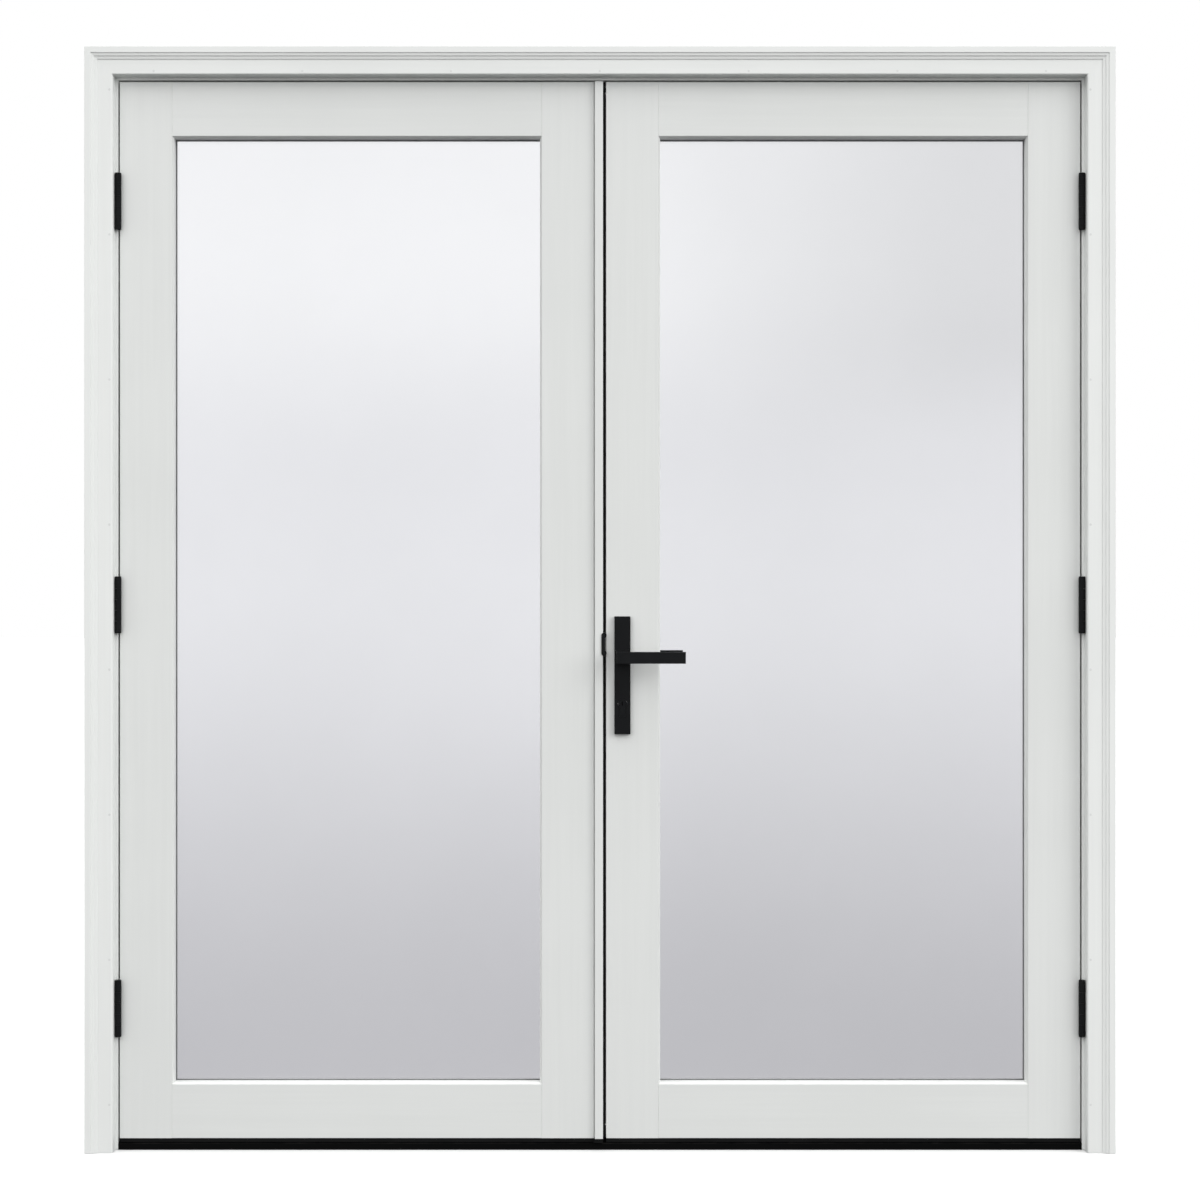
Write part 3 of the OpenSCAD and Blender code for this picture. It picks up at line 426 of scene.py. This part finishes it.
# How brush strokes are stretched: along an upright, along a rail, or round the mitred beads.
ALONG_Z, ALONG_X, ANY_WAY = (110.0, 110.0, 2.5), (2.5, 110.0, 110.0), (35.0, 35.0, 35.0)
LEAF_BRIGHTNESS, BEAD_BRIGHTNESS, SURROUND_BRIGHTNESS = 0.762, 0.775, 0.83
PANE_TINT = (0.925, 0.926, 0.935)
UPRIGHT = satin_paint("leaf_paint_upright", ALONG_Z, LEAF_BRIGHTNESS)
LEVEL = satin_paint("leaf_paint_level", ALONG_X, LEAF_BRIGHTNESS)
BEADING = satin_paint("bead_paint", ANY_WAY, BEAD_BRIGHTNESS)
SURROUND_UPRIGHT = satin_paint("surround_paint_upright", ALONG_Z, SURROUND_BRIGHTNESS)
SURROUND_LEVEL = satin_paint("surround_paint_level", ALONG_X, SURROUND_BRIGHTNESS)
POWDER = black_powder_coat()
ANODISED = black_anodised()
RUBBER = seal_rubber()
SPACER = spacer_strip()
STEEL = plated_steel()
BOARD = sealed_board()
GLASS = clear_glass("clear_glass", PANE_TINT)
FILLER = nail_filler()
SEALANT = glazing_sealant()

RAILS = ("top_rail", "bottom_rail")
SURROUND = ("brickmould", "jamb")
BY_SLOT = {
    "white_paint": UPRIGHT, "sill_metal": ANODISED, "sill_board": BOARD, "clear_glass": GLASS,
    "dark_spacer": SPACER, "black_rubber": RUBBER, "black_hardware": POWDER, "lock_steel": STEEL,
}


def finish_of(node, slot):
    """The material a CAD node gets for its slot in the record."""
    if slot == "white_paint" and node.startswith(SURROUND):
        return SURROUND_LEVEL if node.endswith("head") else SURROUND_UPRIGHT
    if slot == "white_paint" and node.endswith(RAILS):
        return LEVEL
    if slot == "white_paint" and node.endswith(("beads", "nails")):
        return BEADING
    return BY_SLOT[slot]


def dress(piece, material):
    """Gives a piece one material in place of any it has."""
    piece.data.materials.clear()
    piece.data.materials.append(material)


SLOTS = {s["node"]: s["material_slot"] for s in frame["record"]["subparts"]}
FINISH = {node: finish_of(node, slot) for node, slot in SLOTS.items()}
BODY = {node: piece["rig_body"] for node, piece in NODES.items()}
for node, piece in NODES.items():
    dress(piece, FINISH[node])
    if SLOTS[node] == "clear_glass":
        piece.visible_shadow = False


# ---------------------------------------------------------------- wood members with eased edges

# Radii of the rounded edges, and the shortest edge that is rounded, in metres.
MEMBER_EASE, SURROUND_EASE, ASTRAGAL_EASE = 0.0009, 0.0008, 0.0004
LONG_EDGE = 0.3
SHARP_TURN, FLAT_TURN = math.radians(40), math.radians(0.3)
SAME_POINT = 2e-6


def new_piece(name, mesh):
    """An object for a mesh, linked to the scene."""
    piece = bpy.data.objects.new(name, mesh)
    bpy.context.scene.collection.objects.link(piece)
    return piece


def sharp_long_edges(shape):
    """The outward edges worth easing: long, and where two faces meet at a real corner."""
    return [
        e for e in shape.edges
        if len(e.link_faces) == 2 and e.calc_length() >= LONG_EDGE
        and e.is_convex and e.calc_face_angle(0) > SHARP_TURN
    ]


def eased_member(node, radius):
    """A copy of a wood member whose long edges are rounded over as sanding and paint leave them."""
    shape = bmesh.new()
    shape.from_mesh(NODES[node].data)
    bmesh.ops.remove_doubles(shape, verts=shape.verts, dist=SAME_POINT)
    bmesh.ops.dissolve_limit(shape, angle_limit=FLAT_TURN, verts=shape.verts, edges=shape.edges)
    bmesh.ops.bevel(
        shape, geom=sharp_long_edges(shape), offset=radius, offset_type="OFFSET",
        segments=3, profile=0.5, affect="EDGES", clamp_overlap=False,
    )
    mesh = bpy.data.meshes.new(f"eased_{node}")
    shape.to_mesh(mesh)
    shape.free()
    piece = new_piece(f"eased_{node}", mesh)
    dress(piece, FINISH[node])
    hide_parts(node)
    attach(piece, BODY[node])


LEAF_MEMBERS = [
    f"{side}_{part}" for side in ("left", "right")
    for part in ("hinge_stile", "meeting_stile", "top_rail", "bottom_rail")
]
for node in LEAF_MEMBERS + ["jamb_left", "jamb_right", "jamb_head", "astragal_stop"]:
    eased_member(node, MEMBER_EASE)
for node in ("brickmould_left", "brickmould_right", "brickmould_head"):
    eased_member(node, SURROUND_EASE)
eased_member("astragal", ASTRAGAL_EASE)


# ---------------------------------------------------------------- pieces grown by geometry nodes

def end_tree(tree, end, geometry, material):
    """Ends a tree in Realize Instances and Set Material."""
    real = place(tree, "GeometryNodeRealizeInstances")
    covered = place(tree, "GeometryNodeSetMaterial", {"Material": material})
    join(tree, (geometry, real.inputs[0]), (real.outputs[0], covered.inputs["Geometry"]),
         (covered.outputs["Geometry"], end.inputs["Geometry"]))


def grown(tree, settings):
    """The mesh that a tree makes with its inputs set by name."""
    holder = new_piece("growing", bpy.data.meshes.new("growing"))
    growth = holder.modifiers.new("growth", "NODES")
    growth.node_group = tree
    keys = {s.name: s.identifier for s in tree.interface.items_tree
            if s.item_type == "SOCKET" and s.in_out == "INPUT"}
    for label, value in settings.items():
        growth[keys[label]] = value
    holder.update_tag()
    graph = bpy.context.evaluated_depsgraph_get()
    graph.update()
    mesh = bpy.data.meshes.new_from_object(holder.evaluated_get(graph))
    bpy.data.objects.remove(holder)
    return mesh


def joined(name, meshes, material, body):
    """One plain piece from several grown meshes, riding on its body."""
    shape = bmesh.new()
    for mesh in meshes:
        shape.from_mesh(mesh)
        bpy.data.meshes.remove(mesh)
    mesh = bpy.data.meshes.new(name)
    shape.to_mesh(mesh)
    shape.free()
    piece = new_piece(name, mesh)
    dress(piece, material)
    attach(piece, body)
    return piece


def lay_row(tree, start, row, spread):
    """Links a tree's Count, First and Step to the row of points that its pieces stand on."""
    join(tree, (start.outputs["Count"], row.inputs["Count"]),
         (start.outputs["First"], row.inputs["Start Location"]),
         (start.outputs["Step"], row.inputs["Offset"]),
         (row.outputs["Mesh"], spread.inputs["Points"]))


def bulb_seal_tree():
    """A straight run of bulb seal: an oval rubber tube with closed ends."""
    tree, start, end = new_tree(
        "bulb_seal", "GeometryNodeTree",
        [("Centre", "NodeSocketVector", (0, 0, 0)), ("Turn", "NodeSocketVector", (0, 0, 0)),
         ("Length", "NodeSocketFloat", 1.0), ("Oval", "NodeSocketVector", (0.008, 0.0037, 1.0))],
        [("Geometry", "NodeSocketGeometry")],
    )
    tube = place(tree, "GeometryNodeMeshCylinder", {"Vertices": 28, "Radius": 0.5})
    shape = place(tree, "GeometryNodeTransform")
    smooth = place(tree, "GeometryNodeSetShadeSmooth", domain="FACE")
    join(tree, (start.outputs["Length"], tube.inputs["Depth"]),
         (tube.outputs["Mesh"], shape.inputs["Geometry"]),
         (start.outputs["Oval"], shape.inputs["Scale"]))
    stand = place(tree, "GeometryNodeTransform")
    join(tree, (shape.outputs[0], stand.inputs["Geometry"]),
         (start.outputs["Turn"], stand.inputs["Rotation"]),
         (start.outputs["Centre"], stand.inputs["Translation"]),
         (stand.outputs[0], smooth.inputs[0]))
    end_tree(tree, end, smooth.outputs[0], RUBBER)
    return tree


def dot_row_tree():
    """A row of low filler dots, as over nail heads."""
    tree, start, end = new_tree(
        "filler_dots", "GeometryNodeTree",
        [("Count", "NodeSocketInt", 4), ("First", "NodeSocketVector", (0, 0, 0)),
         ("Step", "NodeSocketVector", (0, 0, 0.1)),
         ("Size", "NodeSocketVector", (0.002, 0.0003, 0.002))],
        [("Geometry", "NodeSocketGeometry")],
    )
    row = place(tree, "GeometryNodeMeshLine", mode="OFFSET", count_mode="TOTAL")
    dot = place(tree, "GeometryNodeMeshUVSphere", {"Segments": 20, "Rings": 8, "Radius": 1.0})
    spread = place(tree, "GeometryNodeInstanceOnPoints")
    lay_row(tree, start, row, spread)
    join(tree, (dot.outputs["Mesh"], spread.inputs["Instance"]),
         (start.outputs["Size"], spread.inputs["Scale"]))
    end_tree(tree, end, spread.outputs[0], FILLER)
    return tree


def rib_tree():
    """Anti-slip ribs across a sill, laid on its slope."""
    tree, start, end = new_tree(
        "tread_ribs", "GeometryNodeTree",
        [("Count", "NodeSocketInt", 8), ("First", "NodeSocketVector", (0, 0, 0)),
         ("Step", "NodeSocketVector", (0, 0.005, 0)), ("Length", "NodeSocketFloat", 1.0),
         ("Rib", "NodeSocketVector", (1.0, 0.0007, 0.0005))],
        [("Geometry", "NodeSocketGeometry")],
    )
    row = place(tree, "GeometryNodeMeshLine", mode="OFFSET", count_mode="TOTAL")
    rod = place(tree, "GeometryNodeMeshCylinder", {"Vertices": 10, "Radius": 1.0})
    lay = place(tree, "GeometryNodeTransform", {"Rotation": (0, math.pi / 2, 0)})
    spread = place(tree, "GeometryNodeInstanceOnPoints")
    lay_row(tree, start, row, spread)
    join(tree, (start.outputs["Length"], rod.inputs["Depth"]),
         (rod.outputs["Mesh"], lay.inputs["Geometry"]),
         (lay.outputs[0], spread.inputs["Instance"]),
         (start.outputs["Rib"], spread.inputs["Scale"]))
    end_tree(tree, end, spread.outputs[0], ANODISED)
    return tree


def sealant_tree():
    """A thin bead of sealant round a pane's edge."""
    tree, start, end = new_tree(
        "pane_sealant", "GeometryNodeTree",
        [("Width", "NodeSocketFloat", 0.7), ("Height", "NodeSocketFloat", 1.8),
         ("Centre", "NodeSocketVector", (0, 0, 0)), ("Bead Radius", "NodeSocketFloat", 0.0005)],
        [("Geometry", "NodeSocketGeometry")],
    )
    path = place(tree, "GeometryNodeCurvePrimitiveQuadrilateral", mode="RECTANGLE")
    section = place(tree, "GeometryNodeCurvePrimitiveCircle", {"Resolution": 8})
    sweep = place(tree, "GeometryNodeCurveToMesh")
    stand = place(tree, "GeometryNodeTransform", {"Rotation": (math.pi / 2, 0, 0)})
    join(tree, (start.outputs["Width"], path.inputs["Width"]),
         (start.outputs["Height"], path.inputs["Height"]),
         (start.outputs["Bead Radius"], section.inputs["Radius"]),
         (path.outputs[0], sweep.inputs["Curve"]), (section.outputs[0], sweep.inputs["Profile Curve"]),
         (sweep.outputs[0], stand.inputs["Geometry"]),
         (start.outputs["Centre"], stand.inputs["Translation"]))
    end_tree(tree, end, stand.outputs[0], SEALANT)
    return tree


def add_bulb_seals():
    """Bulb seals on the stops, in place of the plain strips."""
    low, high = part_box("weatherstrips")
    width, y, corner_gap, sill_gap = 0.008, (low.y + high.y) / 2, 0.0006, 0.001
    oval = (width, high.y - low.y, 1.0)
    side_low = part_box("sill_cap")[1].z + sill_gap
    side_high = high.z - width - corner_gap
    side_x, side_z = high.x - width / 2, (side_low + side_high) / 2
    upright, level = (0, 0, 0), (0, math.pi / 2, 0)
    tree = bulb_seal_tree()
    runs = [((s * side_x, y, side_z), upright, side_high - side_low) for s in (-1, 1)]
    for z in (high.z - width / 2, low.z + width / 2):
        runs.append(((0, y, z), level, 2 * (high.x - width - corner_gap)))
    meshes = [
        grown(tree, {"Centre": centre, "Turn": turn, "Length": length, "Oval": oval})
        for centre, turn, length in runs
    ]
    piece = joined("bulb_seals", meshes, RUBBER, "frame")
    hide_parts("weatherstrips")


def add_nail_filler():
    """Filler over the surround's nails, just proud of its face."""
    low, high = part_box("casing_nails")
    nail_radius, proud, dot_size = 0.0015, 0.0004, (0.0023, 0.00022, 0.0023)
    side_count, side_pitch, head_count, head_pitch = 8, 0.274, 7, 0.281
    face_y, side_x = low.y - proud, high.x - nail_radius
    first_z, head_z = low.z + nail_radius, high.z - nail_radius
    head_first_x = -(head_count // 2) * head_pitch
    tree = dot_row_tree()
    rows = [(side_count, (s * side_x, face_y, first_z), (0, 0, side_pitch)) for s in (-1, 1)]
    rows.append((head_count, (head_first_x, face_y, head_z), (head_pitch, 0, 0)))
    meshes = [
        grown(tree, {"Count": count, "First": first, "Step": step, "Size": dot_size})
        for count, first, step in rows
    ]
    joined("nail_filler_dots", meshes, FILLER, "frame")


def add_tread_ribs():
    """Ribs on the sill in front of and behind its upstand, broken round the bolt's hole."""
    low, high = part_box("sill_cap")
    bolt_low, bolt_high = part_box("flush_bolt_bottom")
    end_gap, bolt_gap, pitch = 0.001, 0.003, 0.005
    left, right = low.x + end_gap, high.x - end_gap
    # Each slope's ribs: how many, where the first lies (y, z) and how much the next one rises.
    front, back = (9, -0.0525, 0.01256, 0.00016), (10, 0.0095, 0.01872, -0.0004)
    runs = [
        (front, left, bolt_low.x - bolt_gap),
        (front, bolt_high.x + bolt_gap, right),
        (back, left, right),
    ]
    tree = rib_tree()
    meshes = [
        grown(tree, {"Count": count, "First": ((start + end) / 2, y, z), "Step": (0, pitch, rise),
                     "Length": end - start})
        for (count, y, z, rise), start, end in runs
    ]
    joined("tread_ribs", meshes, ANODISED, "frame")


def add_pane_sealant():
    """Sealant where each pane meets its beads, outside and inside."""
    bead_width = 0.0032
    tree = sealant_tree()
    for side in ("left", "right"):
        low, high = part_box(f"{side}_outer_beads")
        width, height = high.x - low.x - 2 * bead_width, high.z - low.z - 2 * bead_width
        centre = (low + high) / 2
        faces = (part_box(f"{side}_outer_glass")[0].y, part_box(f"{side}_inner_glass")[1].y)
        meshes = [
            grown(tree, {"Width": width, "Height": height, "Centre": (centre.x, y, centre.z)})
            for y in faces
        ]
        joined(f"{side}_pane_sealant", meshes, SEALANT, f"{side}_leaf")


add_bulb_seals()
add_nail_filler()
add_tread_ribs()
add_pane_sealant()


# ---------------------------------------------------------------- floor, light and camera

def build_floor():
    """A plain pale floor, part of the studio. It stays out of the glass and throws no light back."""
    radius, drop = 60.0, 0.0005
    shape = bmesh.new()
    bmesh.ops.create_circle(shape, cap_ends=True, segments=64, radius=radius)
    mesh = bpy.data.meshes.new("studio_floor")
    shape.to_mesh(mesh)
    shape.free()
    floor = new_piece("studio_floor", mesh)
    floor.location.z = -drop
    material, tree, shader = new_material("studio_floor", Roughness=0.9)
    shade = ramp(tree, noise(tree, object_point(tree), 0.8, 2.0), 0.3, 0.7)
    body = mixed(tree, shade, scaled(WHITE, 0.90), scaled(WHITE, 0.915))
    join(tree, (body, shader.inputs["Base Color"]))
    dress(floor, material)
    floor.visible_transmission = False
    floor.visible_glossy = False
    floor.visible_diffuse = False


# The sky that the glass shows, from the ground up, and the unseen light from overhead.
SKY_GROUND, SKY_LEVEL, SKY_HIGH = (0.620, 0.618, 0.638), (0.930, 0.934, 0.950), (1.045, 1.050, 1.055)
AMBIENT_OVERHEAD = scaled(WHITE, 1.83)


def build_world():
    """White behind everything; glass and gloss see a sky that greys towards the ground.

    Across and height are a ray's sideways and upward parts. Two faint dark clouds to the right
    make the right pane a little greyer than the left.
    """
    world = bpy.data.worlds.new("studio")
    world.use_nodes = True
    bpy.context.scene.world = world
    tree = world.node_tree
    tree.nodes.clear()
    where = place(tree, "ShaderNodeTexCoord")
    parts = place(tree, "ShaderNodeSeparateXYZ")
    join(tree, (where.outputs["Generated"], parts.inputs[0]))
    across, height = parts.outputs["X"], parts.outputs["Z"]
    ray = place(tree, "ShaderNodeLightPath")
    sky = mixed(tree, ramp(tree, height, -0.20, 0.02), SKY_GROUND, SKY_LEVEL)
    sky = mixed(tree, ramp(tree, height, 0.05, 0.15), sky, SKY_HIGH)
    near_cloud = math_node(tree, "MULTIPLY", ramp(tree, across, -0.03, 0.07),
                           ramp(tree, height, 0.03, 0.09, 0.033, 0.06))
    sky = mixed(tree, near_cloud, sky, BLACK)
    far_cloud = math_node(tree, "MULTIPLY", ramp(tree, across, 0.03, 0.17),
                          ramp(tree, height, 0.06, 0.12, 0.0, 0.13))
    sky = mixed(tree, far_cloud, sky, BLACK)
    ambient = mixed(tree, ramp(tree, height, -0.5, 0.9), BLACK, AMBIENT_OVERHEAD)
    in_glass = math_node(tree, "MAXIMUM", ray.outputs["Is Glossy Ray"], ray.outputs["Is Transmission Ray"])
    colour = mixed(tree, in_glass, ambient, sky)
    colour = mixed(tree, ray.outputs["Is Camera Ray"], colour, WHITE)
    back = place(tree, "ShaderNodeBackground")
    out = place(tree, "ShaderNodeOutputWorld")
    join(tree, (colour, back.inputs["Color"]), (back.outputs[0], out.inputs["Surface"]))


# Each square lamp: where it hangs, the length of its sides, and its power in watts.
LAMPS = {
    "side_key": ((8.2, -5.6, 4.0), 6.0, 395.0),
    "left_fill": ((-2.6, -4.2, 1.9), 2.4, 23.5),
    "back_light": ((-1.6, 3.8, 3.6), 2.4, 30.0),
}
LAMP_TARGET = Vector((0.0, 0.0, 1.0))


def soft_box(name, hung_at, side, power):
    """A square lamp aimed at the doors. Only its light shows, never the lamp."""
    light = bpy.data.lights.new(name, "AREA")
    light.shape, light.size, light.size_y, light.energy = "RECTANGLE", side, side, power
    lamp = bpy.data.objects.new(name, light)
    bpy.context.scene.collection.objects.link(lamp)
    lamp.location = hung_at
    lamp.rotation_euler = (LAMP_TARGET - Vector(hung_at)).to_track_quat("-Z", "Y").to_euler()
    lamp.visible_camera = False
    lamp.visible_transmission = False
    lamp.visible_glossy = False


def build_camera():
    """Straight in front of the doors, at half their height."""
    distance, height = 4.390, 1.0445
    camera = bpy.data.cameras.new("camera")
    camera.sensor_width, camera.lens = 36.0, 68.4
    camera.clip_start, camera.clip_end = 0.05, 200.0
    eye = bpy.data.objects.new("camera", camera)
    bpy.context.scene.collection.objects.link(eye)
    eye.location = (0.0, -distance, height)
    eye.rotation_euler = (math.pi / 2, 0.0, 0.0)
    bpy.context.scene.camera = eye


build_floor()
build_world()
for name, (hung_at, side, power) in LAMPS.items():
    soft_box(name, hung_at, side, power)
build_camera()
bpy.context.scene.view_settings.view_transform = "Standard"
bpy.context.scene.view_settings.look = "None"
